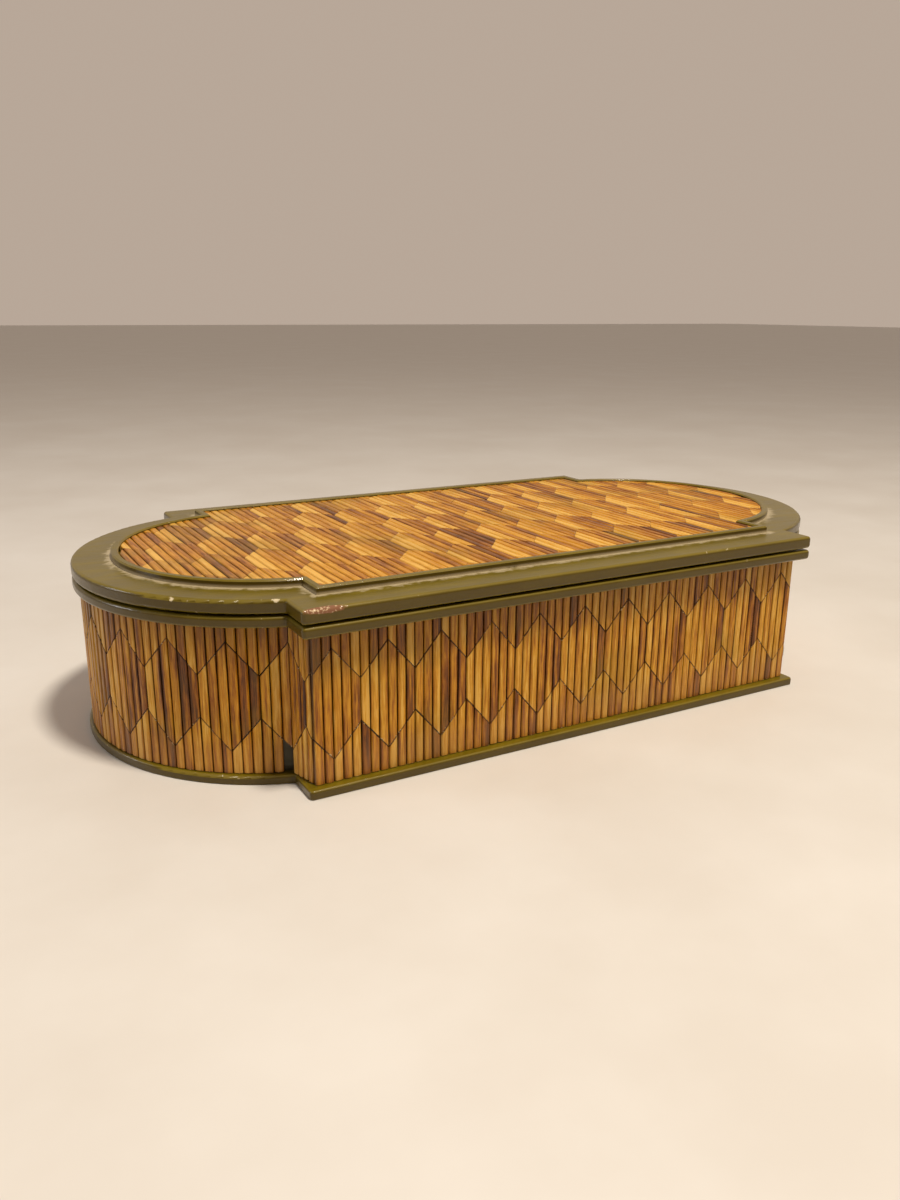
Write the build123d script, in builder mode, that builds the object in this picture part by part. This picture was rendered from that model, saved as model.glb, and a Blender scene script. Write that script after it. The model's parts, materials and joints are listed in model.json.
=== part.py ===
"""A hinged keepsake box clad in split reed, for a dressing table or a desk.

Millimetres, +Z up, +X to the right along the box, the front towards -Y.
The origin is the middle of the underside of the base board.

In plan the box is a rectangle with a rounded end let into each short side, so that every corner
steps in before the curve starts. The carcass is glued up from a base board, two straight walls, two
bent end walls and four blocks that form the steps, and a painted rim caps it. Split reeds stand
round it in three rows of long hexagons. The lid is a round-edged board with a raised border and a
field of the same reeds, and it hangs on two butt hinges let into the back edges.
"""

import os
from functools import cache
from math import atan2, cos, degrees, pi, radians, sin, sqrt, tan

from build123d import *

# Plan of the clad walls, measured to the face of the reeds
HALF_LENGTH = 100.0  # middle of the box to its outer corners, along X
HALF_WIDTH = 77.5  # middle of the box to the front face, along Y
END_RADIUS = 67.6
END_CENTRE = 83.6  # the rounded ends are struck from X = +-83.6
STEP_SPLAY = 13.8  # degrees that the steps lean outwards on their way to the rounded ends

# Plan of the base, the rim and the lid, before their overhangs
MOULDING_RADIUS = 67.0
MOULDING_CENTRE = 82.3

# Heights
BASE_THICK = 3.0
REED_TOP = 52.0  # underside of the rim
RIM_THICK = 3.7
LID_GAP = 0.7  # line of shadow between the rim and the lid
LID_THICK = 4.6
BORDER_HIGH = 2.4

# Overhangs past the face of the reeds
BASE_OVERHANG = 3.0
RIM_OVERHANG = 4.0
LID_OVERHANG = 4.0

# Carcass
WALL_THICK = 6.0
EDGE_ROUND = 1.2  # radius of the rounded edges of the lid and the rim
HINGE_BEVEL = 2.0  # planed off both back edges between lid and rim, so that the lid can turn
CORNER_ROUND = 1.3  # plan radius at the outer corners of the mouldings
NOTCH_ROUND = 0.8  # plan radius where the steps meet the rounded ends

# Raised border on the lid
BORDER_WIDE = 2.6
BORDER_HALF_WIDTH = 67.7
BORDER_RADIUS = 57.0
BORDER_CENTRE = 83.0
BORDER_EASE = 0.5

# Split reeds and the hexagons that they are cut to
REED_THICK = 1.7
REED_SIDE = 0.9  # height of the reed's straight flank, under its rounded face
REED_GAP = 0.06
SHORTEST_OFFCUT = 1.2  # a pointed tip at the border, shorter than this, isn't laid
REEDS_PER_HEXAGON = 6
FRONT_REEDS = 64
RETURN_REEDS = 4
END_REEDS = 54
SIDE_HALF = 7.0  # half of the hexagon's upright side
SLANT = 11.2  # rise of its slanted edge
MIDDLE_ROW = 28.8  # height of the middle row's centre
LID_REED_WIDE = 3.05
LID_SIDE_HALF = 7.5
LID_STRAIGHT_REEDS = 30  # from the middle of the lid to the steps in its border
FIRST_SIDE = 5  # reeds from the front left corner to the first upright side
MISSING_REED = 247  # lost from the bottom row, in the step at the front left

# Butt hinges
HINGE_X = 62.0
HINGE_LONG = 24.0
LEAF_WIDE = 9.0
LEAF_THICK = 0.8
LEAF_GAP = 0.04
KNUCKLE_RADIUS = 1.3
KNUCKLES = 5
KNUCKLE_GAP = 0.1
PIN_RADIUS = 0.55
PIN_CLEARANCE = 0.05
HINGE_ROOM = 0.3  # room cut in the wood round the knuckles
MORTISE_ROOM = 0.1
AXIS_SETBACK = 1.3  # from the edge of the lid in to the hinge pin
SCREW_RADIUS = 0.75
SCREW_HEAD_RADIUS = 1.4
SCREW_SPACING = 14.0
SCREW_SETBACK = 5.4  # from the hinge pin in to the screws
BOX_SCREW_LONG = 8.0
LID_SCREW_LONG = 3.6
SCREW_CLEARANCE = 0.03

# Worked out from the values above
RIM_TOP = REED_TOP + RIM_THICK
LID_UNDER = RIM_TOP + LID_GAP
LID_TOP = LID_UNDER + LID_THICK
REED_WIDE = 2 * HALF_LENGTH / FRONT_REEDS
LID_FIELD_X = LID_STRAIGHT_REEDS * LID_REED_WIDE
BORDER_HALF_LENGTH = LID_FIELD_X + BORDER_WIDE
CAVITY_X = HALF_LENGTH - REED_THICK - WALL_THICK
CAVITY_Y = HALF_WIDTH - REED_THICK - WALL_THICK
WALL_X = HALF_LENGTH - 0.75 * REED_THICK  # the straight walls' outer corners
WALL_Y = HALF_WIDTH - REED_THICK
WALL_RADIUS = END_RADIUS - REED_THICK
CAVITY_RADIUS = WALL_RADIUS - WALL_THICK
AXIS_Y = HALF_WIDTH + LID_OVERHANG - AXIS_SETBACK
AXIS_Z = RIM_TOP + LID_GAP / 2

os.makedirs("parts", exist_ok=True)


def save(shape, name):
    """Labels a finished piece and writes its STEP file."""
    shape.label = name
    export_step(shape, f"parts/{name}.step")


# ---------------------------------------------------------------- plan outlines


def stepped_plan(half_length, half_width, radius, centre, corner=0, notch=0):
    """A rectangle with a rounded end through each short side, its corners eased if asked."""
    with BuildSketch() as plan:
        Rectangle(2 * half_length, 2 * half_width)
        if corner:
            fillet(plan.vertices(), corner)
        with Locations((-centre, 0), (centre, 0)):
            Circle(radius)
        if notch:
            meets = plan.vertices().filter_by(lambda v: abs(abs(v.X) - half_length) < 1e-4)
            inner = meets.filter_by(lambda v: abs(v.Y) < half_width - corner - 1e-4)
            fillet(inner, notch)
    return plan.sketch


def moulding_plan(grow):
    """The plan of a painted moulding that stands out by grow past the reeds."""
    radius = MOULDING_RADIUS + grow
    sides = (HALF_LENGTH + grow, HALF_WIDTH + grow)
    return stepped_plan(*sides, radius, MOULDING_CENTRE, CORNER_ROUND, NOTCH_ROUND)


def border_plan(grow):
    """The plan of the lid's raised border, grown by grow."""
    radius = BORDER_RADIUS + grow
    return stepped_plan(BORDER_HALF_LENGTH + grow, BORDER_HALF_WIDTH + grow, radius, BORDER_CENTRE)


def circle_y(x, radius, centre=END_CENTRE):
    """How far a rounded end of that radius stands from the middle line where it crosses x."""
    return sqrt(max(radius**2 - (x - centre) ** 2, 0))


def step_x(y):
    """Where the splayed face under the reeds of a step stands along X, at y."""
    return WALL_X + (WALL_Y - abs(y)) * tan(radians(STEP_SPLAY))


def rounded_board(low, thick, grow):
    """A board on the stepped plan with a rounded edge."""
    with BuildPart() as board:
        with BuildSketch(Plane.XY.offset(low)):
            add(moulding_plan(grow))
        extrude(amount=thick)
        rims = board.faces().sort_by(Axis.Z)
        fillet(rims[0].edges() + rims[-1].edges(), EDGE_ROUND)
    return board.part


def planed_edge(level, side):
    """What is planed off the back edge at this level, towards +Z for side 1, to let the lid turn."""
    back = HALF_WIDTH + RIM_OVERHANG
    with BuildPart() as strip:
        with BuildSketch(Plane.YZ):
            with BuildLine():
                Polyline(
                    (back - HINGE_BEVEL - 1, level - side),
                    (back + 1, level - side),
                    (back + 1, level + side * (HINGE_BEVEL + 1)),
                    close=True,
                )
            make_face()
        extrude(amount=2 * HALF_LENGTH, both=True)
    return strip.part


# ---------------------------------------------------------------- carcass


def base_board():
    """The floor of the box. Its projecting edge is eased above and nearly square below."""
    with BuildPart() as board:
        with BuildSketch():
            add(moulding_plan(BASE_OVERHANG))
        extrude(amount=BASE_THICK)
        faces = board.faces().sort_by(Axis.Z)
        fillet(faces[-1].edges(), 0.3 * BASE_THICK)
        fillet(faces[0].edges(), 0.15 * BASE_THICK)
    return board.part


def straight_wall(side):
    """The front wall for side -1 and the back wall for side 1."""
    right = [(step_x(y), side * y) for y in (WALL_Y, CAVITY_Y)]
    left = [(-x, y) for x, y in reversed(right)]
    with BuildPart() as wall:
        with BuildSketch(Plane.XY.offset(BASE_THICK)):
            with BuildLine():
                Polyline(*right, *left, close=True)
            make_face()
        extrude(amount=REED_TOP - BASE_THICK)
        if side > 0:
            add(hinge_mortises(-1), mode=Mode.SUBTRACT)
    return wall.part


def end_wall(end):
    """A bent wall, for end -1 on the left and 1 on the right. It stops against the step blocks."""
    inside = [(-2 * WALL_X, WALL_Y), (step_x(WALL_Y), WALL_Y), (step_x(0), 0)]
    inside += [(x, -y) for x, y in reversed(inside[:2])]
    with BuildPart() as wall:
        with BuildSketch(Plane.XY.offset(BASE_THICK)):
            with Locations((end * END_CENTRE, 0)):
                Circle(WALL_RADIUS)
                Circle(CAVITY_RADIUS, mode=Mode.SUBTRACT)
            with BuildLine():
                Polyline(*[(end * x, y) for x, y in inside], close=True)
            make_face(mode=Mode.SUBTRACT)
        extrude(amount=REED_TOP - BASE_THICK)
    return wall.part


def step_block(end, side):
    """The upright block that carries the box's outline in from the straight wall to the bent one."""
    inner = circle_y(CAVITY_X, CAVITY_RADIUS)
    corners = [(CAVITY_X, inner), (step_x(inner), inner), (step_x(CAVITY_Y), CAVITY_Y), (CAVITY_X, CAVITY_Y)]
    with BuildPart() as block:
        with BuildSketch(Plane.XY.offset(BASE_THICK)):
            with BuildLine():
                Polyline(*[(end * x, side * y) for x, y in corners], close=True)
            make_face()
        extrude(amount=REED_TOP - BASE_THICK)
    return block.part


def rim_frame():
    """The whole rim, before it is sawn into its four rails."""
    with BuildPart() as rim:
        add(rounded_board(REED_TOP, RIM_THICK, RIM_OVERHANG))
        add(planed_edge(RIM_TOP, -1), mode=Mode.SUBTRACT)
        with BuildSketch(Plane.XY.offset(REED_TOP)):
            add(stepped_plan(CAVITY_X, CAVITY_Y, CAVITY_RADIUS, END_CENTRE))
        extrude(amount=RIM_THICK, mode=Mode.SUBTRACT)
    return rim.part


def mitre_region(side):
    """The plan area of the front or back rail of the rim, ending on the corner mitres."""
    reach = RIM_OVERHANG + 1
    x_out, y_out = HALF_LENGTH + reach, HALF_WIDTH + reach
    depth = reach + REED_THICK + WALL_THICK
    points = [
        (-x_out, side * y_out),
        (x_out, side * y_out),
        (x_out - depth, side * (y_out - depth)),
        (depth - x_out, side * (y_out - depth)),
    ]
    with BuildSketch() as region:
        with BuildLine():
            Polyline(*points, close=True)
        make_face()
    return region.sketch


def rim_rail(rim, side):
    """The straight rail of the rim: front for side -1, back for side 1."""
    with BuildPart() as rail:
        add(rim)
        with BuildSketch(Plane.XY.offset(REED_TOP)):
            add(mitre_region(side))
        extrude(amount=RIM_THICK, mode=Mode.INTERSECT)
        if side > 0:
            add(hinge_mortises(-1), mode=Mode.SUBTRACT)
    return rail.part


def rim_end(rim, end):
    """The curved rail of the rim with its two steps, sawn as one piece."""
    with BuildPart() as rail:
        add(rim)
        for side in (-1, 1):
            with BuildSketch(Plane.XY.offset(REED_TOP)):
                add(mitre_region(side))
            extrude(amount=RIM_THICK, mode=Mode.SUBTRACT)
        split(bisect_by=Plane.YZ, keep=Keep.TOP if end > 0 else Keep.BOTTOM)
    return rail.part


# ---------------------------------------------------------------- split reeds


def rise(edge):
    """How far up its slanted edge a hexagon stands, 0 to 1, edge reeds past its upright side."""
    half = REEDS_PER_HEXAGON / 2
    return 1 - abs(edge % REEDS_PER_HEXAGON - half) / half


@cache
def reed(wide, foot, head):
    """A split reed from foot to head, the heights of its left and right corners at each cut end.

    It stands along Z with its flat back on Y = 0 and its round face towards -Y.
    """
    half = wide / 2 - REED_GAP / 2
    with BuildPart() as strip:
        with BuildSketch(Plane.XY.offset(min(foot) - 1)):
            with BuildLine():
                Polyline((half, -REED_SIDE), (half, 0), (-half, 0), (-half, -REED_SIDE))
                ThreePointArc((-half, -REED_SIDE), (0, -REED_THICK), (half, -REED_SIDE))
            make_face()
        extrude(amount=max(head) - min(foot) + 2)
        for ends, keep in ((foot, Keep.TOP), (head, Keep.BOTTOM)):
            left, right = ends
            slope = Plane((0, 0, (left + right) / 2), z_dir=(left - right, 0, wide))
            split(bisect_by=slope, keep=keep)
    return strip.part


def column(counter, wide, place):
    """The reeds one above another at one place on the wall, cut to the hexagons' edges.

    counter runs round the whole box, a reed at a time, to the right from the front left corner.
    """
    edges = (counter - FIRST_SIDE, counter + 1 - FIRST_SIDE)
    top = tuple(MIDDLE_ROW + SIDE_HALF + SLANT * rise(e) for e in edges)
    low = tuple(MIDDLE_ROW - SIDE_HALF - SLANT * rise(e) for e in edges)
    gap = REED_GAP / 2
    cuts = [
        ((BASE_THICK, BASE_THICK), tuple(z - gap for z in low)),
        (tuple(z + gap for z in low), tuple(z - gap for z in top)),
        (tuple(z + gap for z in top), (REED_TOP, REED_TOP)),
    ]
    if counter == MISSING_REED:
        cuts = cuts[1:]
    return [reed(round(wide, 4), *rounded(foot, head)).moved(place) for foot, head in cuts]


def rounded(*pairs):
    """The same heights to a tenth of a micron, so that equal reeds are made once."""
    return [tuple(round(z, 4) for z in pair) for pair in pairs]


def facing(x, y, angle):
    """A reed's place on the wall: at x, y, turned by angle degrees from facing the front."""
    return Location((x, y, 0), (0, 0, angle))


def straight_reeds(side):
    """The reeds of the front wall, or of the back wall, where they run the other way along X."""
    first = 0 if side < 0 else FRONT_REEDS + 2 * RETURN_REEDS + END_REEDS
    reeds = []
    for k in range(FRONT_REEDS):
        x = side * (HALF_LENGTH - (k + 0.5) * REED_WIDE)
        reeds += column(first + k, REED_WIDE, facing(x, side * WALL_Y, 90 + side * 90))
    return Compound(children=reeds)


def step_run():
    """The stretch of a step's splayed face that its reeds cover, from its outer corner inwards."""
    lean = radians(STEP_SPLAY)
    across, along = WALL_X - END_CENTRE, WALL_Y
    middle = along * cos(lean) - across * sin(lean)
    notch = middle - sqrt(middle**2 - across**2 - along**2 + WALL_RADIUS**2)
    return REED_THICK * tan(lean) + REED_GAP, notch - REED_THICK


def step_reeds(end, side):
    """The four reeds on one step, between the straight wall and the first reed of the bent one."""
    lean = radians(STEP_SPLAY)
    start, stop = step_run()
    wide = (stop - start) / RETURN_REEDS
    angle = 90 + degrees(atan2(side * sin(lean), end * cos(lean)))
    turns_in = end * side < 0  # going right round the box, the outline turns in on this step
    counts = {(1, -1): 64, (1, 1): 122, (-1, 1): 190, (-1, -1): 248}
    reeds = []
    for k in range(RETURN_REEDS):
        from_corner = k if turns_in else RETURN_REEDS - 1 - k
        run = start + (from_corner + 0.5) * wide
        x, y = end * (WALL_X + run * sin(lean)), side * (WALL_Y - run * cos(lean))
        reeds += column(counts[(end, side)] + k, wide, facing(x, y, angle))
    return Compound(children=reeds)


def end_reeds(end):
    """The reeds round one bent wall."""
    first = FRONT_REEDS + RETURN_REEDS
    if end < 0:
        first += END_REEDS + 2 * RETURN_REEDS + FRONT_REEDS
    lean = radians(STEP_SPLAY)
    notch = step_run()[1] + REED_THICK
    start = degrees(atan2(WALL_Y - notch * cos(lean), WALL_X + notch * sin(lean) - END_CENTRE))
    pitch = 2 * start / END_REEDS
    wide = 2 * WALL_RADIUS * sin(pitch * pi / 360)
    reeds = []
    for k in range(END_REEDS):
        angle = (k + 0.5) * pitch - start + (180 if end < 0 else 0)
        x = end * END_CENTRE + WALL_RADIUS * cos(angle * pi / 180)
        y = WALL_RADIUS * sin(angle * pi / 180)
        reeds += column(first + k, wide, facing(x, y, angle + 90))
    return Compound(children=reeds)


def field_edge(x):
    """Half the width of the lid's reed field at x, inside the border."""
    if abs(x) <= LID_FIELD_X:
        return BORDER_HALF_WIDTH - BORDER_WIDE
    return circle_y(abs(x), BORDER_RADIUS - BORDER_WIDE, BORDER_CENTRE)


def lid_lines(edge):
    """The cut lines between the rows of hexagons on the lid, outwards from the middle line."""
    row = 2 * LID_SIDE_HALF + SLANT
    even = LID_SIDE_HALF + SLANT * rise(edge)
    odd = row + LID_SIDE_HALF + SLANT * rise(edge + REEDS_PER_HEXAGON / 2)
    return [even, odd, even + 2 * row]


def lid_column(k):
    """The reeds end to end along Y in one column of the lid, as heights of their cut ends."""
    gap = REED_GAP / 2
    near = 0.001  # just inside the reed's edges, so that the step in the border is missed
    left, right = k * LID_REED_WIDE, (k + 1) * LID_REED_WIDE
    limits = (field_edge(left + near) - gap, field_edge(right - near) - gap)
    lines = list(zip(lid_lines(k), lid_lines(k + 1)))
    top = [tuple(min(z - gap, limit) for z, limit in zip(line, limits)) for line in lines]
    low = [tuple(z + gap for z in line) for line in lines]
    cuts = [(tuple(-z for z in top[0]), top[0])]
    for foot, head in zip(low, top[1:] + [limits]):
        if max(h - f for f, h in zip(foot, head)) > SHORTEST_OFFCUT:
            cuts.append((foot, head))
            cuts.append((tuple(-z for z in head), tuple(-z for z in foot)))
    return cuts


def lid_reeds():
    """The field of reeds on the lid, laid front to back."""
    reeds = []
    columns = int((BORDER_CENTRE + BORDER_RADIUS - BORDER_WIDE) // LID_REED_WIDE)
    for k in range(-columns, columns):
        place = Location(((k + 0.5) * LID_REED_WIDE, 0, LID_TOP), (-90, 0, 0))
        for foot, head in lid_column(k):
            reeds.append(reed(LID_REED_WIDE, *rounded(foot, head)).moved(place))
    return Compound(children=reeds)


# ---------------------------------------------------------------- lid


def lid_board():
    """The lid: a board with a rounded edge, mortised underneath for the hinges."""
    with BuildPart() as board:
        add(rounded_board(LID_UNDER, LID_THICK, LID_OVERHANG))
        add(planed_edge(LID_UNDER, 1), mode=Mode.SUBTRACT)
        add(hinge_mortises(1), mode=Mode.SUBTRACT)
    return board.part


def border_ring():
    """The whole raised border, before it is cut into its strips."""
    with BuildPart() as ring:
        with BuildSketch(Plane.XY.offset(LID_TOP)):
            add(border_plan(0))
            add(border_plan(-BORDER_WIDE), mode=Mode.SUBTRACT)
        extrude(amount=BORDER_HIGH)
        chamfer(ring.faces().sort_by(Axis.Z)[-1].edges(), BORDER_EASE)
    return ring.part


def border_strip(ring, corners):
    """The part of the border over the plan area with these corners, which lie on its mitres."""
    with BuildPart() as strip:
        add(ring)
        with BuildSketch(Plane.XY.offset(LID_TOP)):
            with BuildLine():
                Polyline(*corners, close=True)
            make_face()
        extrude(amount=BORDER_HIGH, mode=Mode.INTERSECT)
    return strip.part


def border_strips():
    """The border's eight strips by name, mitred where they meet."""
    ring = border_ring()
    over = 1.0  # the plan areas run this far past the border on each side
    grow = (over, -BORDER_WIDE - over)
    corner = [(BORDER_HALF_LENGTH + g, BORDER_HALF_WIDTH + g) for g in grow]
    step = [(x, circle_y(x, BORDER_RADIUS + g, BORDER_CENTRE)) for (x, _), g in zip(corner, grow)]
    far = BORDER_CENTRE + BORDER_RADIUS + over
    strips = {}
    for side, name in ((-1, "front"), (1, "back")):
        area = [(-corner[0][0], corner[0][1]), corner[0], corner[1], (-corner[1][0], corner[1][1])]
        strips[f"border_{name}"] = border_strip(ring, [(x, side * y) for x, y in area])
        for end, end_name in ((-1, "left"), (1, "right")):
            area = [corner[0], corner[1], step[1], step[0]]
            piece = border_strip(ring, [(end * x, side * y) for x, y in area])
            strips[f"border_{name}_{end_name}_step"] = piece
    for end, end_name in ((-1, "left"), (1, "right")):
        area = [step[1], step[0], (step[0][0], far), (far, far)]
        area += [(x, -y) for x, y in reversed(area)]
        strips[f"border_{end_name}_curve"] = border_strip(ring, [(end * x, y) for x, y in area])
    return strips


# ---------------------------------------------------------------- hinges


def hinge_mortises(face):
    """What is cut from the rim (face -1) or the lid (face 1) for both hinges and their screws."""
    deep = LEAF_THICK + LEAF_GAP
    long = HINGE_LONG + 2 * MORTISE_ROOM
    wide = LEAF_WIDE + MORTISE_ROOM
    screw_long = LID_SCREW_LONG if face > 0 else BOX_SCREW_LONG
    with BuildPart() as room:
        for x in (-HINGE_X, HINGE_X):
            with BuildSketch(Plane.XY.offset(AXIS_Z)):
                with Locations((x, AXIS_Y - wide / 2)):
                    Rectangle(long, wide)
            extrude(amount=face * deep)
            with Locations(Location((x, AXIS_Y, AXIS_Z), (0, 90, 0))):
                Cylinder(KNUCKLE_RADIUS + HINGE_ROOM, long)
            with BuildSketch(Plane.XY.offset(AXIS_Z)):
                with Locations((x, AXIS_Y)):
                    with GridLocations(SCREW_SPACING, 2 * SCREW_SETBACK, 2, 1):
                        with Locations((0, -SCREW_SETBACK)):
                            Circle(SCREW_RADIUS + SCREW_CLEARANCE)
            extrude(amount=face * (deep + screw_long))
    return room.part


def knuckle_span(index):
    """The start of one knuckle along the hinge, and its length."""
    pitch = (HINGE_LONG + KNUCKLE_GAP) / KNUCKLES
    return -HINGE_LONG / 2 + index * pitch, pitch - KNUCKLE_GAP


def barrel(x, start, long, radius):
    """A cylinder on the hinge's axis."""
    with BuildPart() as rod:
        with BuildSketch(Plane((x + start, AXIS_Y, AXIS_Z), z_dir=(1, 0, 0))):
            Circle(radius)
        extrude(amount=long)
    return rod.part


def hinge_leaf(x, face):
    """One leaf with its knuckles: below the pin for face -1, above it for face 1."""
    own = range(0 if face < 0 else 1, KNUCKLES, 2)
    with BuildPart() as leaf:
        with BuildSketch(Plane.XY.offset(AXIS_Z + face * LEAF_GAP / 2)):
            with Locations((x, AXIS_Y - LEAF_WIDE / 2)):
                Rectangle(HINGE_LONG, LEAF_WIDE)
        extrude(amount=face * LEAF_THICK)
        for index in range(KNUCKLES):
            start, long = knuckle_span(index)
            if index in own:
                add(barrel(x, start, long, KNUCKLE_RADIUS))
            else:
                room = barrel(x, start - KNUCKLE_GAP, long + 2 * KNUCKLE_GAP, KNUCKLE_RADIUS + KNUCKLE_GAP)
                add(room, mode=Mode.SUBTRACT)
        add(barrel(x, -HINGE_LONG, 2 * HINGE_LONG, PIN_RADIUS + PIN_CLEARANCE), mode=Mode.SUBTRACT)
        for screw_x in (-SCREW_SPACING / 2, SCREW_SPACING / 2):
            add(screw_body(x + screw_x, face, LEAF_THICK, SCREW_CLEARANCE), mode=Mode.SUBTRACT)
    return leaf.part


def screw_body(x, face, long, grow):
    """A countersunk wood screw in one leaf, its head flush with the leaf's inner face."""
    cone = SCREW_HEAD_RADIUS - SCREW_RADIUS
    head = AXIS_Z + face * LEAF_GAP / 2
    profile = [
        (0, 0),
        (SCREW_HEAD_RADIUS + grow, 0),
        (SCREW_RADIUS + grow, cone),
        (SCREW_RADIUS + grow, long),
        (0, long),
    ]
    with BuildPart() as screw:
        spot = (x, AXIS_Y - SCREW_SETBACK, head)
        with BuildSketch(Plane(spot, x_dir=(1, 0, 0), z_dir=(0, -face, 0))):
            with BuildLine():
                Polyline(*profile, close=True)
            make_face()
        revolve(axis=Axis(spot, (0, 0, 1)))
    return screw.part


def slotted_screws(x, face):
    """The pair of screws in one leaf, with a slot across each head."""
    long = LEAF_THICK + (LID_SCREW_LONG if face > 0 else BOX_SCREW_LONG) - 0.5
    head = AXIS_Z + face * LEAF_GAP / 2
    screws = []
    for screw_x in (x - SCREW_SPACING / 2, x + SCREW_SPACING / 2):
        with BuildPart() as screw:
            add(screw_body(screw_x, face, long, 0))
            with Locations((screw_x, AXIS_Y - SCREW_SETBACK, head)):
                Box(2 * SCREW_HEAD_RADIUS, 0.4, 0.5, mode=Mode.SUBTRACT)
        screws.append(screw.part)
    return Compound(children=screws)


# ---------------------------------------------------------------- all pieces

ENDS = {-1: "left", 1: "right"}
SIDES = {-1: "front", 1: "back"}

save(base_board(), "base_board")
save(lid_board(), "lid_board")
save(lid_reeds(), "lid_reeds")
rim = rim_frame()
for side, side_name in SIDES.items():
    save(straight_wall(side), f"{side_name}_wall")
    save(straight_reeds(side), f"{side_name}_reeds")
    save(rim_rail(rim, side), f"rim_{side_name}_rail")
for end, end_name in ENDS.items():
    save(end_wall(end), f"{end_name}_end_wall")
    save(end_reeds(end), f"{end_name}_end_reeds")
    save(rim_end(rim, end), f"rim_{end_name}_end")
    for side, side_name in SIDES.items():
        save(step_block(end, side), f"{side_name}_{end_name}_step_block")
        save(step_reeds(end, side), f"{side_name}_{end_name}_step_reeds")
for strip_name, strip in border_strips().items():
    save(strip, strip_name)
for end, end_name in ENDS.items():
    hinge = end * HINGE_X
    save(barrel(hinge, -HINGE_LONG / 2, HINGE_LONG, PIN_RADIUS), f"{end_name}_hinge_pin")
    for face, face_name in ((-1, "box"), (1, "lid")):
        save(hinge_leaf(hinge, face), f"{end_name}_hinge_{face_name}_leaf")
        save(slotted_screws(hinge, face), f"{end_name}_hinge_{face_name}_screws")
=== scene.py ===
# %% [markdown]
# # A keepsake box clad in split reed
#
# The real box is a low wooden carcass with rounded ends, painted olive green where it shows, with
# split reeds glued round the walls and over the middle of the lid. The reeds are cut to long
# hexagons, and that pattern is what the eye goes to. The boards, the mouldings and the hinges come
# from the CAD frame and only need their finishes. The reeds are made again here, one by one,
# because a reed's charm is in what CAD leaves out: its own tone, its small lean, its rounded
# shoulders and its splintered ends.

# %% Load the frame
import json
import random
from math import atan2, cos, degrees, pi, radians, sin, sqrt, tan

import bmesh
import bpy
from mathutils import Euler, Matrix, Vector


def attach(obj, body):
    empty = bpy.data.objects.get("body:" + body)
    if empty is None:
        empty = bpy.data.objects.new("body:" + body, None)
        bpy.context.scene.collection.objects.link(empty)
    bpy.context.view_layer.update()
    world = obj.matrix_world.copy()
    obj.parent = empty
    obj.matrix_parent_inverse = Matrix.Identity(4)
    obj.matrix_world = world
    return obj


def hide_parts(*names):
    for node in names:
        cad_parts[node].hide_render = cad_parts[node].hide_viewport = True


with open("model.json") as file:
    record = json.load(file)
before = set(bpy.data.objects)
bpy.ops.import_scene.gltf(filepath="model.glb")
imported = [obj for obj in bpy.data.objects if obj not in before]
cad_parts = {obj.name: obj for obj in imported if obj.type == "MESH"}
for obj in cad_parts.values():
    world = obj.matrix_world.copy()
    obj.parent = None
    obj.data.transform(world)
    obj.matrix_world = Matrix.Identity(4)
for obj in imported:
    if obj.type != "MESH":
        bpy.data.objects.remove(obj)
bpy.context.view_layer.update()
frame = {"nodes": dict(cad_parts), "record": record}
nodes = frame["nodes"]
MM = 0.001

# %% [markdown]
# ## Camera
#
# The camera stands in front of the box and to its left, a little above it, as someone does who
# leans over a table. A wide lens close by gives the strong taper of such a view. It is turned with
# three angles, because that says plainly how far it looks right, down and askew.

# %% Camera
LENS_MM = 29.508
CAMERA_PLACE = (-0.1984, -0.3361, 0.1443)
LOOK_RIGHT, LOOK_DOWN, ROLL = 29.29, 16.52, 0.37

camera_data = bpy.data.cameras.new("camera")
camera_data.lens = LENS_MM
camera_data.sensor_width = 36
camera = bpy.data.objects.new("camera", camera_data)
bpy.context.collection.objects.link(camera)
turn = Euler((radians(90 - LOOK_DOWN), 0, radians(-LOOK_RIGHT))).to_matrix()
turn = turn @ Matrix.Rotation(radians(ROLL), 3, "Z")
camera.matrix_world = Matrix.Translation(CAMERA_PLACE) @ turn.to_4x4()
bpy.context.scene.camera = camera

# %% [markdown]
# ## How the reeds are laid out
#
# Round the walls the reeds stand side by side, and one count runs round the whole box from the
# front left corner. Six reeds make a hexagon. The cut lines between the rows go up and down along
# that count like a zigzag with flat joints, so where a reed is cut only depends on its place in
# the count. The lid has the same pattern lying down, with its own reed width. One reed has fallen
# off the bottom row, the last one of the left end.

# %% Sizes of the pattern, in millimetres
HALF_LENGTH, HALF_WIDTH = 100.0, 77.5
END_RADIUS, END_CENTRE = 67.6, 83.6
STEP_SPLAY = radians(13.8)
REED_THICK = 1.7
REED_GAP = 0.06
WALL_X, WALL_Y = HALF_LENGTH - 0.75 * REED_THICK, HALF_WIDTH - REED_THICK
WALL_RADIUS = END_RADIUS - REED_THICK
FRONT_REEDS, STEP_REEDS, END_REEDS = 64, 4, 54
FRONT_REED_WIDE = 2 * HALF_LENGTH / FRONT_REEDS
HALF_ROUND = FRONT_REEDS + 2 * STEP_REEDS + END_REEDS
MISSING_REED = 2 * HALF_ROUND - STEP_REEDS - 1
REEDS_PER_HEXAGON = 6
FIRST_SIDE = 5
SIDE_HALF, SLANT, MIDDLE_ROW = 7.0, 11.2, 28.8
FOOT, HEAD = 3.0, 52.0
print(2 * HALF_ROUND, "reeds stand round the walls in each row")


def rise(edge):
    """How far up its slanted edge a hexagon stands, 0 to 1, at this edge of a reed."""
    half = REEDS_PER_HEXAGON / 2
    return 1 - abs(edge % REEDS_PER_HEXAGON - half) / half


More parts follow.
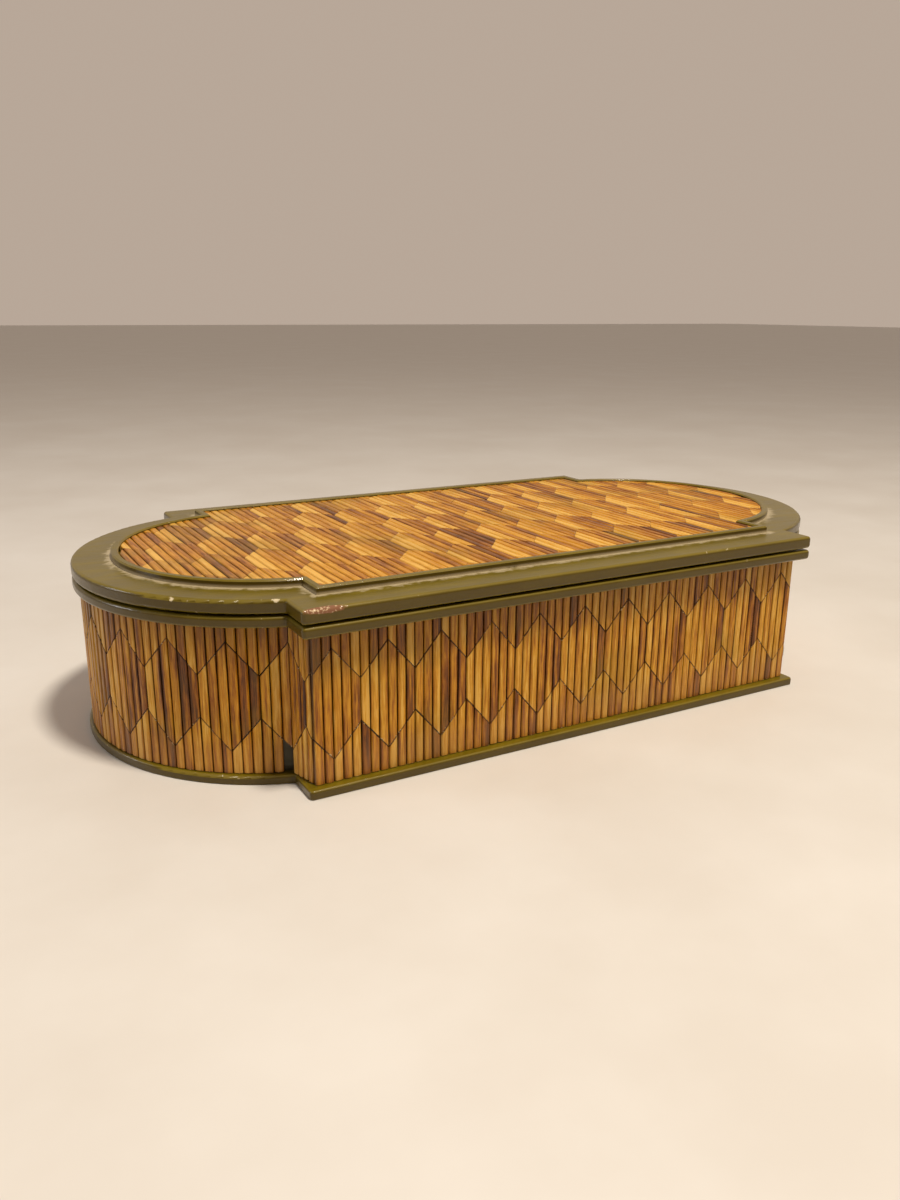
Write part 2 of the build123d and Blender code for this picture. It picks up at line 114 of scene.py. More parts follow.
def wall_cuts(counter):
    """The reeds of one column: row, heights at the left and right of the foot, and of the head."""
    edges = (counter - FIRST_SIDE, counter + 1 - FIRST_SIDE)
    top = [MIDDLE_ROW + SIDE_HALF + SLANT * rise(e) for e in edges]
    low = [MIDDLE_ROW - SIDE_HALF - SLANT * rise(e) for e in edges]
    rows = [(1, low, top), (2, top, [HEAD, HEAD])]
    if counter != MISSING_REED:
        rows.append((0, [FOOT, FOOT], low))
    return rows


# %% Where the reeds stand round the walls
def straight_places(side):
    """Count, width and place of each reed on the front (-1) or the back (1)."""
    first = 0 if side < 0 else HALF_ROUND
    for k in range(FRONT_REEDS):
        x = side * (HALF_LENGTH - (k + 0.5) * FRONT_REED_WIDE)
        yield first + k, FRONT_REED_WIDE, x, side * WALL_Y, 90 + side * 90


def step_run():
    """The stretch of a step's face that its reeds cover, and where the step meets the end."""
    across, along = WALL_X - END_CENTRE, WALL_Y
    middle = along * cos(STEP_SPLAY) - across * sin(STEP_SPLAY)
    notch = middle - sqrt(middle**2 - across**2 - along**2 + WALL_RADIUS**2)
    return REED_THICK * tan(STEP_SPLAY) + REED_GAP, notch - REED_THICK, notch


def step_places(end, side):
    """The same for the four reeds of one step."""
    start, stop, _ = step_run()
    wide = (stop - start) / STEP_REEDS
    angle = 90 + degrees(atan2(side * sin(STEP_SPLAY), end * cos(STEP_SPLAY)))
    first = FRONT_REEDS if end * side < 0 else FRONT_REEDS + STEP_REEDS + END_REEDS
    if end < 0:
        first += HALF_ROUND
    for k in range(STEP_REEDS):
        from_corner = k if end * side < 0 else STEP_REEDS - 1 - k
        run = start + (from_corner + 0.5) * wide
        x = end * (WALL_X + run * sin(STEP_SPLAY))
        yield first + k, wide, x, side * (WALL_Y - run * cos(STEP_SPLAY)), angle


def end_places(end):
    """The same for one rounded end."""
    first = FRONT_REEDS + STEP_REEDS
    if end < 0:
        first += HALF_ROUND
    notch = step_run()[2]
    y, x = WALL_Y - notch * cos(STEP_SPLAY), WALL_X + notch * sin(STEP_SPLAY) - END_CENTRE
    start = degrees(atan2(y, x))
    pitch = 2 * start / END_REEDS
    wide = 2 * WALL_RADIUS * sin(radians(pitch / 2))
    for k in range(END_REEDS):
        angle = (k + 0.5) * pitch - start + (180 if end < 0 else 0)
        x = end * END_CENTRE + WALL_RADIUS * cos(radians(angle))
        yield first + k, wide, x, WALL_RADIUS * sin(radians(angle)), angle + 90


# %% [markdown]
# ## One reed
#
# A split reed is half of a thin cane, shaved almost flat: it is flat where it is glued, and in
# front it has a crown with rounded shoulders. A cube with its two front edges bevelled makes that
# section. Its ends are then cut with two bisecting planes, which is what the maker does with a
# knife. There are more than a thousand reeds, so only a few faces go round each one.

# %% A reed's blank, in millimetres
SHOULDER = 0.6
CROWN = 0.1
NEARLY = 0.1


def reed_blank():
    """A bar 1 mm wide and long, flat on Y = 0, with its crowned face towards -Y."""
    bm = bmesh.new()
    bmesh.ops.create_cube(bm, size=1)
    bmesh.ops.translate(bm, vec=(0, -0.5, 0.5), verts=bm.verts[:])
    bmesh.ops.scale(bm, vec=(FRONT_REED_WIDE, REED_THICK, 1), verts=bm.verts[:])
    front = [e for e in bm.edges if all(v.co.y < -1 for v in e.verts)]
    upright = [e for e in front if abs(e.verts[0].co.x - e.verts[1].co.x) < NEARLY]
    bmesh.ops.bevel(
        bm, geom=upright, offset=SHOULDER, segments=4, profile=0.5, affect="EDGES", material=-1
    )
    level = [e for e in bm.edges if all(v.co.y < CROWN - REED_THICK for v in e.verts)]
    level = [e for e in level if abs(e.verts[0].co.z - e.verts[1].co.z) < NEARLY]
    cut = bmesh.ops.subdivide_edges(bm, edges=level, cuts=1)
    middle = [v for v in cut["geom_inner"] if isinstance(v, bmesh.types.BMVert)]
    bmesh.ops.translate(bm, vec=(0, -CROWN, 0), verts=middle)
    bmesh.ops.translate(bm, vec=(0, CROWN, 0), verts=[v for v in bm.verts if v.co.y < -0.5])
    bmesh.ops.scale(bm, vec=(1 / FRONT_REED_WIDE, 1, 1), verts=bm.verts[:])
    bmesh.ops.recalc_face_normals(bm, faces=bm.faces[:])
    return bm


blank = reed_blank()
print("a reed's blank has", len(blank.faces), "faces")

# %% [markdown]
# ## Cutting and laying a reed
#
# Every reed carries four numbers in its mesh, for the varnish to read later: how dark its cane is,
# a number that belongs to it alone, how far up the reed a point is and how far across it. In every
# hexagon the cane goes from pale gold on the left to dark brown on the right, as if the six reeds
# had been sorted by tone, with an odd dark one here and there. No two reeds are quite as wide or as
# thick as each other, they lean a little, and their cut ends meet in joints of different widths.

# %% Cut one reed and add it to a field of reeds
chance = random.Random(11)
REED_NUMBERS = ("tone", "seed", "span", "across")
SHADES = (0.16, 0.34, 0.3, 0.4, 0.46, 0.66)
HEXAGON_VARIES, REED_VARIES = 0.09, 0.13
ODD_ONES, ODD_ONE_DARKER = 0.12, 0.22
END_GAP = 0.26
NARROWEST_GAP = 0.4
NARROWER, THINNEST = 0.12, 0.93
LEAN = 1.6
MOST_SEED = 50


def shade_of(position, row, hexagons, shades=SHADES):
    """The tone of the reed at this position in its row of hexagons, 0 pale to 1 dark."""
    shift = 0 if row % 2 else REEDS_PER_HEXAGON // 2
    hexagon, place = divmod(position + shift, REEDS_PER_HEXAGON)
    whole = hexagons.setdefault((row, hexagon), chance.uniform(-HEXAGON_VARIES, HEXAGON_VARIES))
    odd_one = ODD_ONE_DARKER if chance.random() < ODD_ONES else 0
    tone = shades[place] + whole + odd_one + chance.uniform(-REED_VARIES, REED_VARIES)
    return min(1, max(0, tone))


def cut_reed(field, wide, low, top, tone, place, joint=END_GAP):
    """Cuts a reed to its slanted ends and lays it at its place in the field."""
    reed = blank.copy()
    slim = wide - REED_GAP - chance.uniform(0, NARROWER)
    bottom, head = min(low) - 1, max(top) + 1
    thick = chance.uniform(THINNEST, 1)
    bmesh.ops.scale(reed, vec=(slim, thick, head - bottom), verts=reed.verts[:])
    bmesh.ops.translate(reed, vec=(0, 0, bottom), verts=reed.verts[:])
    for (left, right), keep in ((low, -1), (top, 1)):
        gap = joint * chance.uniform(NARROWEST_GAP, 1)
        middle = Vector((0, 0, (left + right) / 2 - keep * gap))
        slope = Vector((left - right, 0, wide)) * keep
        cut = bmesh.ops.bisect_plane(
            reed, geom=reed.verts[:] + reed.edges[:] + reed.faces[:],
            plane_co=middle, plane_no=slope, clear_outer=True,
        )
        rim = [e for e in cut["geom_cut"] if isinstance(e, bmesh.types.BMEdge)]
        bmesh.ops.contextual_create(reed, geom=rim)
    tones, seeds, spans, across = [reed.verts.layers.float.new(name) for name in REED_NUMBERS]
    seed = chance.uniform(0, MOST_SEED)
    for v in reed.verts:
        v[tones], v[seeds], v[across] = tone, seed, 2 * v.co.x / slim
        v[spans] = 0.0 if v.co.z < (min(low) + max(top)) / 2 else 1.0
    lean = Matrix.Rotation(radians(chance.uniform(-LEAN, LEAN)), 4, "Z")
    bmesh.ops.transform(reed, matrix=Matrix.Scale(MM, 4) @ place @ lean, verts=reed.verts[:])
    mesh = bpy.data.meshes.new("reed")
    reed.to_mesh(mesh)
    field.from_mesh(mesh)
    bpy.data.meshes.remove(mesh)
    reed.free()


def new_field():
    """An empty field of reeds with the numbers that every reed carries."""
    field = bmesh.new()
    for name in REED_NUMBERS:
        field.verts.layers.float.new(name)
    return field


# %% Stand the reeds round the walls
wall_hexagons = {}


def wall_field(places):
    """The reeds of one stretch of the walls, cut and standing."""
    field = new_field()
    for counter, wide, x, y, angle in places:
        place = Matrix.Translation((x, y, 0)) @ Matrix.Rotation(radians(angle), 4, "Z")
        for row, low, top in wall_cuts(counter):
            tone = shade_of(counter - FIRST_SIDE, row, wall_hexagons)
            cut_reed(field, wide, low, top, tone, place)
    return field


def finish_piece(name, bm, material, body, slot, *replaced):
    """Makes a piece from its bmesh, gives it its finish, and puts it on its body."""
    mesh = bpy.data.meshes.new(name)
    bm.to_mesh(mesh)
    bm.free()
    piece = bpy.data.objects.new(name, mesh)
    bpy.context.collection.objects.link(piece)
    mesh.materials.append(material)
    mesh.shade_smooth()
    mesh.set_sharp_from_angle(angle=radians(40))
    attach(piece, body)
    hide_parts(*replaced)
    print(name, "has", len(mesh.polygons), "faces")


# %% [markdown]
# ## Mixing finishes
#
# Every finish is mixed from nodes, so that it wraps round each piece without pictures. One short
# helper adds a node and wires or sets its inputs, which keeps each recipe readable from top to
# bottom. Patterns are placed by the piece's own coordinates, in metres.


# %% A helper for recipes
MIX_FACTOR, MIX_UNDER, MIX_OVER, MIX_RESULT = 0, 6, 7, 2


class Recipe:
    """A material whose nodes are added one by one. Inputs are sockets to wire or values to set."""

    def __init__(self, name):
        self.material = bpy.data.materials.new(name)
        self.material.use_nodes = True
        self.tree = self.material.node_tree
        self.shader = self.tree.nodes["Principled BSDF"]

    def set(self, node, inputs):
        """Wires or sets each input."""
        for key, value in inputs.items():
            if isinstance(value, bpy.types.NodeSocket):
                self.tree.links.new(value, node.inputs[key])
            else:
                node.inputs[key].default_value = value
        return node

    def add(self, kind, inputs=None, **settings):
        """Adds a shader node of this kind."""
        node = self.tree.nodes.new("ShaderNode" + kind)
        for key, value in settings.items():
            setattr(node, key, value)
        return self.set(node, inputs or {})

    def math(self, operation, *values, clamp=False):
        inputs = dict(enumerate(values))
        return self.add("Math", inputs, operation=operation, use_clamp=clamp).outputs[0]

    def number(self, name):
        """A number that the mesh carries."""
        return self.add("Attribute", attribute_name=name).outputs["Fac"]

    def noise(self, where, scale, detail=3.0, rough=0.55, seed=None):
        inputs = {"Vector": where, "Scale": scale, "Detail": detail, "Roughness": rough}
        if seed is None:
            return self.add("TexNoise", inputs).outputs["Fac"]
        inputs["W"] = seed
        return self.add("TexNoise", inputs, noise_dimensions="4D").outputs["Fac"]

    def stretched(self, stretch):
        """The piece's own coordinates, with a small number where a pattern runs long."""
        here = self.add("TexCoord").outputs["Object"]
        return self.add("Mapping", {"Vector": here, "Scale": stretch}).outputs["Vector"]

    def band(self, value, low, high, start=0.0, end=1.0):
        """Goes smoothly from start to end as value goes from low to high."""
        inputs = {"Value": value, 1: low, 2: high, 3: start, 4: end}
        return self.add("MapRange", inputs, interpolation_type="SMOOTHSTEP").outputs["Result"]

    def colours(self, value, *stops):
        """Goes through the colours of the stops as value passes their places."""
        ramp = self.add("ValToRGB", {"Fac": value})
        band = ramp.color_ramp
        while len(band.elements) < len(stops):
            band.elements.new(0.5)
        for stop, (place, colour) in zip(band.elements, stops):
            stop.position, stop.color = place, (*colour, 1)
        return ramp.outputs["Color"]

    def mix(self, amount, under, over):
        """Lays a colour over another one by this amount."""
        under, over = [(*c, 1) if isinstance(c, tuple) else c for c in (under, over)]
        inputs = {MIX_FACTOR: amount, MIX_UNDER: under, MIX_OVER: over}
        return self.add("Mix", inputs, data_type="RGBA").outputs[MIX_RESULT]

    def bump(self, height, strength, depth):
        inputs = {"Height": height, "Strength": strength, "Distance": depth}
        return self.add("Bump", inputs).outputs["Normal"]

    def reach(self, x_out, y, centre):
        """How far a point lies from the upright line that a rounded end is drawn about."""
        along = self.math("SUBTRACT", x_out, centre)
        squares = self.math("MULTIPLY", along, along), self.math("MULTIPLY", y, y)
        return self.math("SQRT", self.math("ADD", *squares))

    def finish(self, **inputs):
        """Sets the inputs of the surface itself."""
        self.set(self.shader, {key.replace("_", " "): value for key, value in inputs.items()})
        return self.material


# %% [markdown]
# ## Varnished reed
#
# The cane is gold to dark brown, with streaks along it and finer grain inside the streaks. The
# valleys between the reeds are painted dark, as painted shade where the rounded reeds meet, with
# old varnish in them too. The cut ends are darker, and here and there a cut end has splintered and
# shows pale. On the walls the reeds are painted browner near the rim, as painted shade under its
# overhang with some dirt, and they are paler at the foot. The lid's reeds lie more in the open:
# they are more even, with clean joints. A satin coat lies over it all.


# %% The reeds' finish
def varnished_reed(name, stretch, contrast, dark_ends, rim_shade_and_pale_foot):
    """Streaks run along the stretched axis. The last three go from 0, none, to 1, strong."""
    r = Recipe(name)
    where = r.stretched(stretch)
    tone, seed, span, across = [r.number(n) for n in REED_NUMBERS]
    streak = r.noise(where, 620.0, 3.0, 0.6, seed)
    grain = r.noise(where, 2300.0, 4.0, 0.65, seed)
    patch = r.noise(r.stretched((1, 1, 1)), 130.0, 3.0, 0.6, seed)
    stain = r.noise(r.stretched((1, 1, 1)), 38.0, 2.0, 0.5)
    shade = r.math("MULTIPLY_ADD", r.math("SUBTRACT", streak, 0.5), 1.9 * contrast, tone)
    shade = r.math("MULTIPLY_ADD", r.math("SUBTRACT", grain, 0.5), 1.4 * contrast, shade)
    shade = r.math("MULTIPLY_ADD", r.math("SUBTRACT", patch, 0.5), 0.45, shade, clamp=True)
    cane = r.colours(
        shade,
        (0.0, (0.80, 0.46, 0.080)),
        (0.2, (0.68, 0.33, 0.022)),
        (0.45, (0.52, 0.21, 0.006)),
        (0.7, (0.27, 0.082, 0.003)),
        (1.0, (0.070, 0.020, 0.003)),
    )
    cane = r.mix(r.band(stain, 0.5, 0.68, 0.0, 0.35), cane, (0.32, 0.18, 0.008))
    edge = r.math("ABSOLUTE", across)
    # painted shade: the valleys where the rounded reeds meet are darkened, with old varnish there
    # too
    valley_shade = r.band(r.math("MULTIPLY_ADD", streak, 0.34, edge), 1.0, 1.16)
    cane = r.mix(r.math("MULTIPLY", valley_shade, 0.92 * contrast), cane, (0.024, 0.008, 0.002))
    ending = r.math("ABSOLUTE", r.math("SUBTRACT", span, 0.5))
    cut = r.band(r.math("MULTIPLY_ADD", streak, 0.03, ending), 0.498, 0.514)
    cane = r.mix(r.math("MULTIPLY", cut, dark_ends), cane, (0.04, 0.014, 0.006))
    height = r.add("SeparateXYZ", {"Vector": r.stretched((1, 1, 1))}).outputs["Z"]
    # painted shade: browner towards the rim, the shade of its overhang on the top row, with some
    # dirt too
    cane = r.mix(r.band(height, 0.036, 0.052, 0.0, rim_shade_and_pale_foot), cane, (0.13, 0.05, 0.006))
    # paler towards the foot
    cane = r.mix(r.band(height, 0.018, 0.008, 0.0, 0.6 * rim_shade_and_pale_foot), cane, (0.52, 0.25, 0.09))
    splinter = r.noise(r.stretched((1, 1, 1)), 1300.0, 2.0, 0.5)
    splinter = r.math("MULTIPLY", r.band(splinter, 0.64, 0.67), r.band(ending, 0.474, 0.49))
    cane = r.mix(splinter, cane, (0.62, 0.46, 0.22))
    gloss = r.band(grain, 0.3, 0.7, 0.34, 0.5)
    relief = r.math("MULTIPLY_ADD", streak, 0.8, grain)
    relief = r.math("MULTIPLY_ADD", r.math("MULTIPLY", edge, edge), -1.6 * contrast, relief)
    bumps = r.bump(relief, 0.5, 0.00025)
    return r.finish(
        Base_Color=cane, Roughness=gloss, Normal=bumps,
        Specular_IOR_Level=0.2, Coat_Weight=0.35, Coat_Roughness=0.09, Coat_Normal=bumps,
    )


standing_reed = varnished_reed("standing_reed", (1, 1, 0.05), 1.0, 0.75, 0.4)
lying_reed = varnished_reed("lying_reed", (1, 0.05, 1), 0.6, 0.2, 0.0)

# %% Stand the wall reeds in their finish
SIDE_NAMES = {-1: "front", 1: "back"}
END_NAMES = {-1: "left", 1: "right"}
stands = {f"{SIDE_NAMES[side]}_reeds": straight_places(side) for side in SIDE_NAMES}
for end, end_name in END_NAMES.items():
    stands[f"{end_name}_end_reeds"] = end_places(end)
    for side, side_name in SIDE_NAMES.items():
        stands[f"{side_name}_{end_name}_step_reeds"] = step_places(end, side)
for node, places in stands.items():
    cane = node.replace("reeds", "cane")
    finish_piece(cane, wall_field(places), standing_reed, "box", "split_reed", node)

# %% [markdown]
# ## The reeds on the lid
#
# The same reeds lie from front to back on the lid, inside its raised border, and stop where they
# meet the border. Their hexagons have their own width and length. A column is worked out from the
# middle row outwards, and a piece too short to cut is left out.

# %% Lay the lid's reeds
LID_TOP = 61.0
LID_REED_WIDE = 3.05
LID_SIDE_HALF = 7.5
BORDER_X, BORDER_Y = 91.5, 65.1
BORDER_RADIUS, BORDER_CENTRE = 54.4, 83.0
LAST_COLUMN = 45
LID_MIDDLE_ROW = 11
SHORTEST_OFFCUT = 1.2
LID_SHADES = (0.02, 0.1, 0.4, 0.46, 0.48, 0.62)
LID_END_GAP = 0.06


def border_y(x):
    """How far from the middle line the border's inner face stands, at x."""
    if abs(x) <= BORDER_X:
        return BORDER_Y
    return sqrt(max(BORDER_RADIUS**2 - (abs(x) - BORDER_CENTRE) ** 2, 0))


def lid_cuts(k):
    """The reeds of one column of the lid: row, and the Y of the corners of both cut ends."""
    row = 2 * LID_SIDE_HALF + SLANT
    near = 0.001
    limits = [border_y(x) for x in (k * LID_REED_WIDE + near, (k + 1) * LID_REED_WIDE - near)]
    lines = []
    for n in range(3):
        shift = REEDS_PER_HEXAGON // 2 if n % 2 else 0
        lines.append([LID_SIDE_HALF + n * row + SLANT * rise(k + i + shift) for i in (0, 1)])
    heads = [[min(z, limit) for z, limit in zip(line, limits)] for line in lines]
    cuts = [(LID_MIDDLE_ROW, [-z for z in heads[0]], heads[0])]
    for n, (foot, head) in enumerate(zip(lines, heads[1:] + [limits]), start=1):
        if max(h - f for f, h in zip(foot, head)) > SHORTEST_OFFCUT:
            cuts.append((LID_MIDDLE_ROW + n, foot, head))
            cuts.append((LID_MIDDLE_ROW - n, [-z for z in head], [-z for z in foot]))
    return cuts


lid_hexagons = {}
lid_field = new_field()
for k in range(-LAST_COLUMN, LAST_COLUMN):
    place = Matrix.Translation(((k + 0.5) * LID_REED_WIDE, 0, LID_TOP))
    place = place @ Matrix.Rotation(-pi / 2, 4, "X")
    for row, low, top in lid_cuts(k):
        tone = shade_of(k, row, lid_hexagons, LID_SHADES)
        cut_reed(lid_field, LID_REED_WIDE, low, top, tone, place, LID_END_GAP)
finish_piece("lid_cane", lid_field, lying_reed, "lid", "split_reed", "lid_reeds")
blank.free()

# %% [markdown]
# ## Olive paint
#
# The boards and mouldings are brush-painted a dark olive that has gone brown with age. Their
# upright faces are painted darker and browner again, as painted shade. The paint is thin on the
# rounded edges, where it has chipped to a cream primer, and it is rubbed through to pink and cream
# at the front left corner of the lid. Wax has dried grey on the lid at the foot of the raised
# border, where a cloth doesn't reach. How far a point lies outside the border is worked out from
# its coordinates.
# Three knocks along the left of the lid's edge have taken the paint off in one place each.


# %% The paint
BORDER_OUTSIDE_X, BORDER_OUTSIDE_Y, BORDER_OUTSIDE_RADIUS = 0.0941, 0.0677, 0.057
KNOCKS = ((-0.1331, -0.0490, 0.0605), (-0.1064, -0.0663, 0.0609), (-0.1030, -0.0800, 0.0590))
FROM_RUBBED_CORNER = (0.0968, 0.0812, -0.0606)
RUBBED_SHAPE = (150.0, 550.0, 750.0)


def olive_paint():
    r = Recipe("olive_paint")
    here = r.add("TexCoord").outputs
    where, facing = here["Object"], here["Normal"]
    x, y, z = r.add("SeparateXYZ", {"Vector": where}).outputs
    up = r.math("ABSOLUTE", r.add("SeparateXYZ", {"Vector": facing}).outputs["Z"])
    brushed = r.noise(r.stretched((0.25, 1, 1)), 260.0, 4.0, 0.6)
    cloudy = r.noise(where, 28.0, 4.0, 0.55)
    paint = r.colours(
        r.math("MULTIPLY_ADD", brushed, 0.6, r.math("MULTIPLY", cloudy, 0.4)),
        (0.3, (0.105, 0.076, 0.0020)),
        (0.48, (0.140, 0.102, 0.0030)),
        (0.62, (0.175, 0.128, 0.0045)),
        (0.75, (0.205, 0.148, 0.008)),
    )
    shoulder = r.math("MULTIPLY", r.band(up, 0.35, 0.6), r.band(up, 0.985, 0.9))
    paint = r.mix(r.math("MULTIPLY", shoulder, 0.3), paint, (0.26, 0.19, 0.03))
    # painted shade: upright faces are darker and browner than the tops
    upright = r.band(up, 0.75, 0.25, 0.0, 0.7)
    paint = r.mix(upright, paint, (0.062, 0.035, 0.001))
    x_out, y_out = r.math("ABSOLUTE", x), r.math("ABSOLUTE", y)
    past_end = r.math("SUBTRACT", x_out, BORDER_OUTSIDE_X)
    past_side = r.math("SUBTRACT", y_out, BORDER_OUTSIDE_Y)
    past_round = r.math("SUBTRACT", r.reach(x_out, y, BORDER_CENTRE * MM), BORDER_OUTSIDE_RADIUS)
    outside = r.math("MINIMUM", r.math("MAXIMUM", past_end, past_side), past_round)
    blotch = r.noise(where, 350.0, 4.0, 0.65)
    wax = r.band(r.math("MULTIPLY_ADD", blotch, -0.008, outside), -0.0008, -0.0036)
    on_board = r.math("MULTIPLY", r.band(z, 0.0600, 0.0608), r.band(z, 0.0622, 0.0612))
    wax = r.math("MULTIPLY", wax, on_board)
    wax = r.math("MULTIPLY", wax, r.band(outside, -0.0006, -0.0002))
    paint = r.mix(r.math("MULTIPLY", wax, 0.8), paint, (0.50, 0.42, 0.27))
    flake = r.noise(where, 750.0, 3.0, 0.6)
    spread = r.noise(where, 90.0, 2.0, 0.5)
    chip = r.math("MULTIPLY", r.band(flake, 0.66, 0.69), r.band(spread, 0.5, 0.6))
    chip = r.math("MULTIPLY", chip, shoulder)
    for spot in KNOCKS:
        away = r.add("VectorMath", {0: where, 1: spot}, operation="DISTANCE").outputs["Value"]
        knock = r.band(r.math("MULTIPLY_ADD", flake, 0.0030, away), 0.0024, 0.0020)
        chip = r.math("MAXIMUM", chip, knock)
    paint = r.mix(chip, paint, (0.66, 0.56, 0.36))
    far = r.add("Mapping", {"Vector": where, "Location": FROM_RUBBED_CORNER}).outputs["Vector"]
    far = r.add("Mapping", {"Vector": far, "Scale": RUBBED_SHAPE}).outputs["Vector"]
    far = r.add("VectorMath", {"Vector": far}, operation="LENGTH").outputs["Value"]
    rubbed = r.band(r.math("MULTIPLY_ADD", blotch, 0.9, far), 1.55, 1.25)
    primer = r.mix(r.band(flake, 0.54, 0.62), (0.24, 0.105, 0.05), (0.62, 0.46, 0.28))
    paint = r.mix(rubbed, paint, primer)
    worn = r.math("MAXIMUM", rubbed, r.math("MAXIMUM", chip, wax))
    gloss = r.math("MULTIPLY_ADD", worn, 0.35, r.band(brushed, 0.3, 0.7, 0.3, 0.42))
    grit = r.noise(where, 1500.0, 3.0, 0.6)
    relief = r.math("SUBTRACT", r.math("MULTIPLY", brushed, 0.35), r.math("MULTIPLY", worn, 0.5))
    relief = r.math("MULTIPLY_ADD", grit, 0.45, relief)
    bumps = r.bump(relief, 0.45, 0.0003)
    return r.finish(
        Base_Color=paint, Roughness=gloss, Normal=bumps,
        Specular_IOR_Level=0.2, Coat_Weight=0.45, Coat_Roughness=0.08, Coat_Normal=bumps,
    )


# %% [markdown]
# ## Bare wood inside, painted ground outside
#
# The walls are plain oiled wood inside. Outside, under the reeds, they are olive, painted much
# darker than the mouldings as painted shade, and this shows in the joints and where one reed has
# fallen off. The paint starts just under the walls' outer faces, so that it covers them whole.


# %% The carcass finish
PAINTED_X, PAINTED_Y, PAINTED_RADIUS = 0.0985, 0.0755, 0.0655


def carcass_wood():
    r = Recipe("carcass_wood")
    where = r.add("TexCoord").outputs["Object"]
    x, y, _ = r.add("SeparateXYZ", {"Vector": where}).outputs
    grain = r.noise(r.stretched((0.06, 0.06, 1)), 520.0, 5.0, 0.6)
    pore = r.noise(r.stretched((0.04, 0.04, 1)), 2600.0, 2.0, 0.5)
    shade = r.math("MULTIPLY_ADD", pore, 0.25, r.math("MULTIPLY", grain, 0.8))
    wood = r.colours(
        shade,
        (0.3, (0.22, 0.105, 0.042)),
        (0.5, (0.38, 0.205, 0.09)),
        (0.7, (0.50, 0.30, 0.145)),
    )
    x_out, y_out = r.math("ABSOLUTE", x), r.math("ABSOLUTE", y)
    past_round = r.math("GREATER_THAN", r.reach(x_out, y, END_CENTRE * MM), PAINTED_RADIUS)
    past_end = r.math("GREATER_THAN", x_out, PAINTED_X)
    past_side = r.math("GREATER_THAN", y_out, PAINTED_Y)
    outside = r.math("MAXIMUM", r.math("MULTIPLY", past_round, past_end), past_side)
    # painted shade: the outer faces get a dark olive so that the joints and the empty slot read
    # dark
    wood = r.mix(outside, wood, (0.050, 0.040, 0.013))
    gloss = r.band(grain, 0.3, 0.7, 0.45, 0.62)
    return r.finish(Base_Color=wood, Roughness=gloss, Normal=r.bump(shade, 0.3, 0.0003))


# %% [markdown]
# ## Brass
#
# The small hinges are old brass: yellow where they rub, brown where they don't.


# %% The hinges' finish
def aged_brass():
    r = Recipe("aged_brass")
    where = r.add("TexCoord").outputs["Object"]
    stain = r.noise(where, 380.0, 4.0, 0.6)
    scratch = r.noise(r.stretched((0.1, 1, 1)), 3000.0, 2.0, 0.5)
    metal = r.colours(
        stain,
        (0.35, (0.25, 0.14, 0.045)),
        (0.5, (0.50, 0.33, 0.11)),
        (0.68, (0.66, 0.47, 0.19)),
    )
    gloss = r.band(stain, 0.3, 0.7, 0.5, 0.28)
    bumps = r.bump(scratch, 0.15, 0.0001)
    return r.finish(Base_Color=metal, Metallic=1.0, Roughness=gloss, Normal=bumps)


# %% Give the CAD nodes their finishes
finishes = {"green_paint": olive_paint(), "carcass_wood": carcass_wood(), "brass": aged_brass()}
for part in frame["record"]["subparts"]:
    if part["material_slot"] in finishes:
        mesh = nodes[part["node"]].data
        mesh.materials.clear()
        mesh.materials.append(finishes[part["material_slot"]])

# %% [markdown]
# ## Floor and light
#
# A plain pale floor and soft light, so that nothing competes with the pattern. The room is
# brighter behind the box and to its right, and dimmer in front of it and to its left. A warm lamp
# hangs nearly overhead, a little to the front, and a weaker, cooler one at the back left draws the
# rounded end out of the shade. The colours are shown plainly, with nothing rolled off, so that
# the old varnish keeps its strong gold.

# %% Floor
FLOOR_HALF = 8

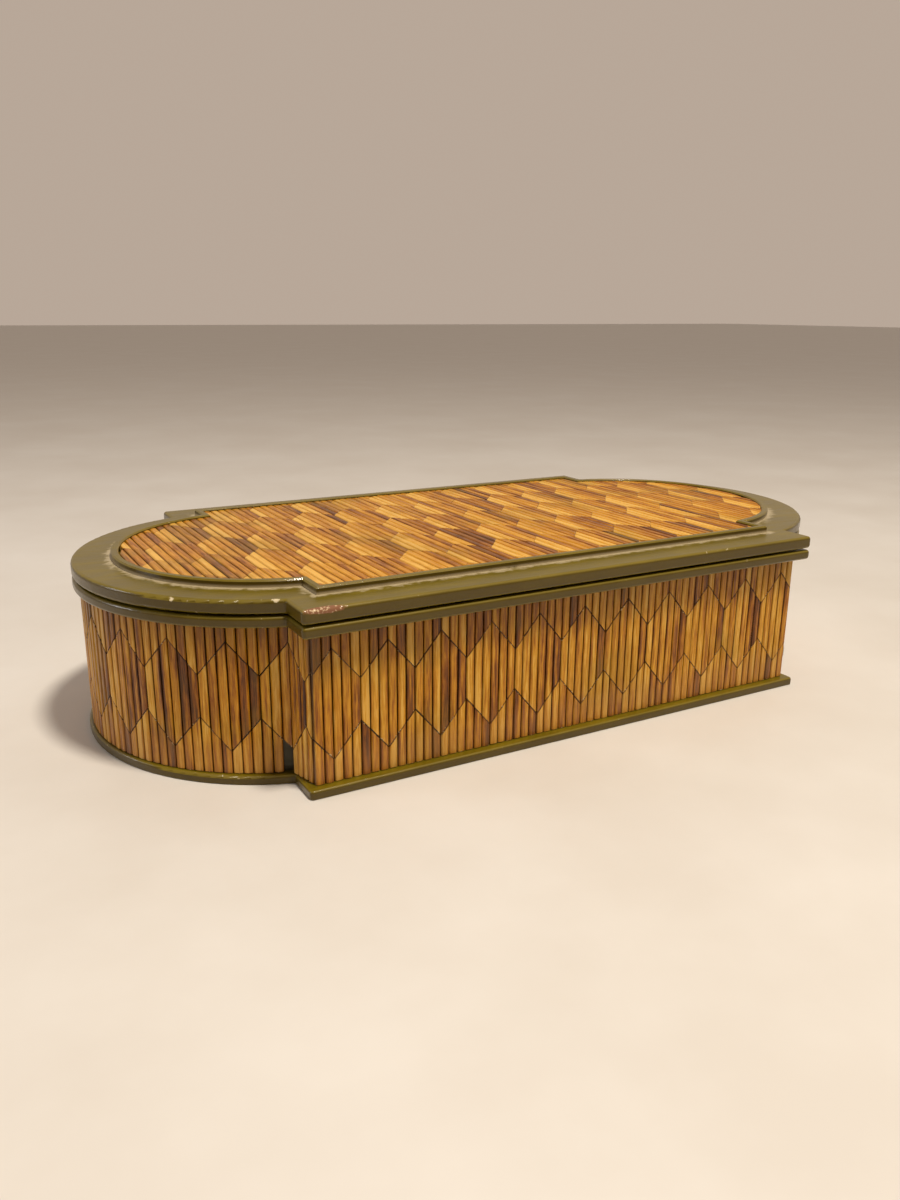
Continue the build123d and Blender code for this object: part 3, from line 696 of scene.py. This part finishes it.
bm = bmesh.new()
bmesh.ops.create_grid(bm, x_segments=1, y_segments=1, size=FLOOR_HALF)
mesh = bpy.data.meshes.new("floor")
bm.to_mesh(mesh)
bm.free()
floor = bpy.data.objects.new("floor", mesh)
bpy.context.collection.objects.link(floor)
pale = Recipe("pale_floor")
cloud = pale.noise(pale.add("TexCoord").outputs["Object"], 9.0, 5.0, 0.6)
mesh.materials.append(
    pale.finish(
        Base_Color=pale.colours(cloud, (0.35, (0.70, 0.67, 0.62)), (0.65, (0.75, 0.73, 0.69))),
        Roughness=pale.band(cloud, 0.3, 0.7, 0.45, 0.6),
    )
)

# %% Lights
ROOM_COLOUR = (1.0, 0.81, 0.66, 1)
TOWARDS_BRIGHT = (0.8, 0.55, 0)
DIMMEST_AT, BRIGHTEST_AT = -0.7, 0.3
DIM, BRIGHT = 0.17, 0.48
LAMPS_AIM = Vector((0, 0, 0.03))

world = bpy.data.worlds.new("studio")
bpy.context.scene.world = world
world.use_nodes = True
room = world.node_tree
glow = room.nodes["Background"]
glow.inputs["Color"].default_value = ROOM_COLOUR
direction = room.nodes.new("ShaderNodeTexCoord").outputs["Generated"]
facing = room.nodes.new("ShaderNodeVectorMath")
facing.operation = "DOT_PRODUCT"
facing.inputs[1].default_value = TOWARDS_BRIGHT
room.links.new(direction, facing.inputs[0])
dimmed = room.nodes.new("ShaderNodeMapRange")
for key, value in enumerate((DIMMEST_AT, BRIGHTEST_AT, DIM, BRIGHT), start=1):
    dimmed.inputs[key].default_value = value
room.links.new(facing.outputs["Value"], dimmed.inputs["Value"])
room.links.new(dimmed.outputs["Result"], glow.inputs["Strength"])


def soft_light(name, place, size, power, colour):
    """A round lamp that shines at the box."""
    data = bpy.data.lights.new(name, "AREA")
    data.shape, data.size, data.energy, data.color = "DISK", size, power, colour
    lamp = bpy.data.objects.new(name, data)
    bpy.context.collection.objects.link(lamp)
    lamp.location = place
    lamp.rotation_euler = (LAMPS_AIM - Vector(place)).to_track_quat("-Z", "Y").to_euler()


soft_light("key", (0.06, -0.38, 1.1), 0.16, 12.0, (1.0, 0.90, 0.77))
soft_light("side", (-0.9, 0.35, 0.35), 0.25, 1.6, (0.9, 0.92, 1.0))
bpy.context.scene.view_settings.view_transform = "Standard"
